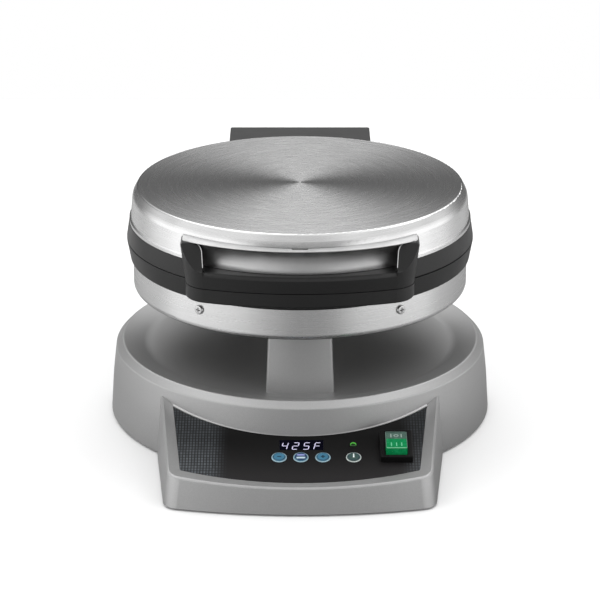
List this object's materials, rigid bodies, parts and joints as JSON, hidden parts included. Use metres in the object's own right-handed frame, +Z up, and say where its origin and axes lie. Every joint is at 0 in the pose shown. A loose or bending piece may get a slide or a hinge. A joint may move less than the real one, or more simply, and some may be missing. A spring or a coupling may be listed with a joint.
{
  "type": "countertop contact press",
  "caption": "Round countertop contact press: a hinged clamshell head with a front handle, on a pedestal above a dished base with a sloped control panel.",
  "frame": {"origin": "on the table, in the middle of the closed part's bounding box", "axes": "+Z up; -Y is the front, where the control panel and handle are; +X is to the right as seen from the front"},
  "size_m": [0.381, 0.4989, 0.234],
  "materials": {
    "silver_paint": "satin metallic silver paint",
    "lid_steel": "circular brushed stainless steel",
    "polished_steel": "polished stainless sheet",
    "screw_chrome": "bright plated",
    "black_plastic": "fine satin moulded black",
    "hinge_plastic": "matt moulded dark grey",
    "switch_black": "smooth moulded black",
    "plated_steel": "zinc plated",
    "nonstick": "cast aluminium with a dark non-stick coating",
    "heater_sheath": "dull heat-stained sheath",
    "rubber_black": "matt",
    "overlay_print": "printed film, satin gloss",
    "window_smoke": "smoked window, glossy",
    "display_face": "dark face with pale segments",
    "lamp_green": "translucent green lens",
    "key_blue": "glossy domed blue",
    "key_slate": "glossy domed grey-green",
    "ring_blue": "pale blue trim",
    "rocker_green": "glossy green",
    "cover_clear": "clear moulded cover",
    "board_green": "solder mask",
    "part_black": "moulded component bodies",
    "part_cream": "moulded terminal body",
    "core_steel": "laminated core with tape",
    "spring_steel": "oiled spring steel"
  },
  "bodies": {
    "base": {"base_shell": "silver_paint", "bottom_plate": "plated_steel", "feet": "rubber_black", "foot_screws": "plated_steel", "bottom_screws": "plated_steel", "cord_gland": "rubber_black", "board_standoffs": "part_cream", "power_board": "board_green", "transformer": "core_steel", "relays": "part_black", "terminal_block": "part_cream", "control_overlay": "overlay_print", "display_window": "window_smoke", "display_module": "display_face", "ready_lamp": "lamp_green", "key_rings": "ring_blue", "tact_switches": "part_black", "control_board": "board_green", "board_screws": "plated_steel", "buzzer": "part_black", "switch_housing": "switch_black", "column": "silver_paint", "column_bolts": "plated_steel", "head_mount_plate": "plated_steel", "head_bolts": "plated_steel", "lower_shell": "lid_steel", "shell_screws": "screw_chrome", "lower_ring": "black_plastic", "lower_plate": "nonstick", "lower_plate_screws": "plated_steel", "lower_heater": "heater_sheath", "lower_reflector": "plated_steel", "lower_reflector_screws": "plated_steel", "lower_thermostat": "plated_steel", "hinge_bracket_lower": "plated_steel", "lower_bracket_bolts": "plated_steel", "hinge_pin": "plated_steel", "hinge_springs": "spring_steel", "hinge_housing": "hinge_plastic", "hinge_housing_screws": "plated_steel"},
    "lid": {"lid_shell": "lid_steel", "upper_ring": "black_plastic", "upper_plate": "nonstick", "upper_plate_screws": "plated_steel", "upper_heater": "heater_sheath", "upper_reflector": "plated_steel", "upper_reflector_screws": "plated_steel", "upper_thermostat": "plated_steel", "handle_shield": "polished_steel", "hinge_bracket_upper": "plated_steel", "upper_bracket_bolts": "plated_steel", "hinge_cover": "hinge_plastic", "hinge_cover_screws": "plated_steel"},
    "rocker": {"power_rocker": "rocker_green", "rocker_cover": "cover_clear"},
    "minus_key": {"minus_key": "key_blue"},
    "select_key": {"select_key": "key_blue"},
    "plus_key": {"plus_key": "key_blue"},
    "timer_key": {"timer_key": "key_slate"}
  },
  "joints": [
    {"name": "lid_hinge", "type": "hinge", "parent": "base", "child": "lid", "pos_m": [0, 0.2405, 0.18155], "axis": [-1, 0, 0], "range_deg": [0, 100]},
    {"name": "power_rocker_tilt", "type": "hinge", "parent": "base", "child": "rocker", "pos_m": [0.0898, -0.18244, 0.03753], "axis": [1, 0, 0], "range_deg": [0, 18]},
    {"name": "minus_key_press", "type": "slide", "parent": "base", "child": "minus_key", "axis": [0, 0.2504, -0.9681], "range_m": [0, 0.0008], "stiffness_N_per_m": 1500, "springref_m": -0.0004},
    {"name": "select_key_press", "type": "slide", "parent": "base", "child": "select_key", "axis": [0, 0.2504, -0.9681], "range_m": [0, 0.0008], "stiffness_N_per_m": 1500, "springref_m": -0.0004},
    {"name": "plus_key_press", "type": "slide", "parent": "base", "child": "plus_key", "axis": [0, 0.2504, -0.9681], "range_m": [0, 0.0008], "stiffness_N_per_m": 1500, "springref_m": -0.0004},
    {"name": "timer_key_press", "type": "slide", "parent": "base", "child": "timer_key", "axis": [0, 0.2504, -0.9681], "range_m": [0, 0.0008], "stiffness_N_per_m": 1500, "springref_m": -0.0004}
  ]
}
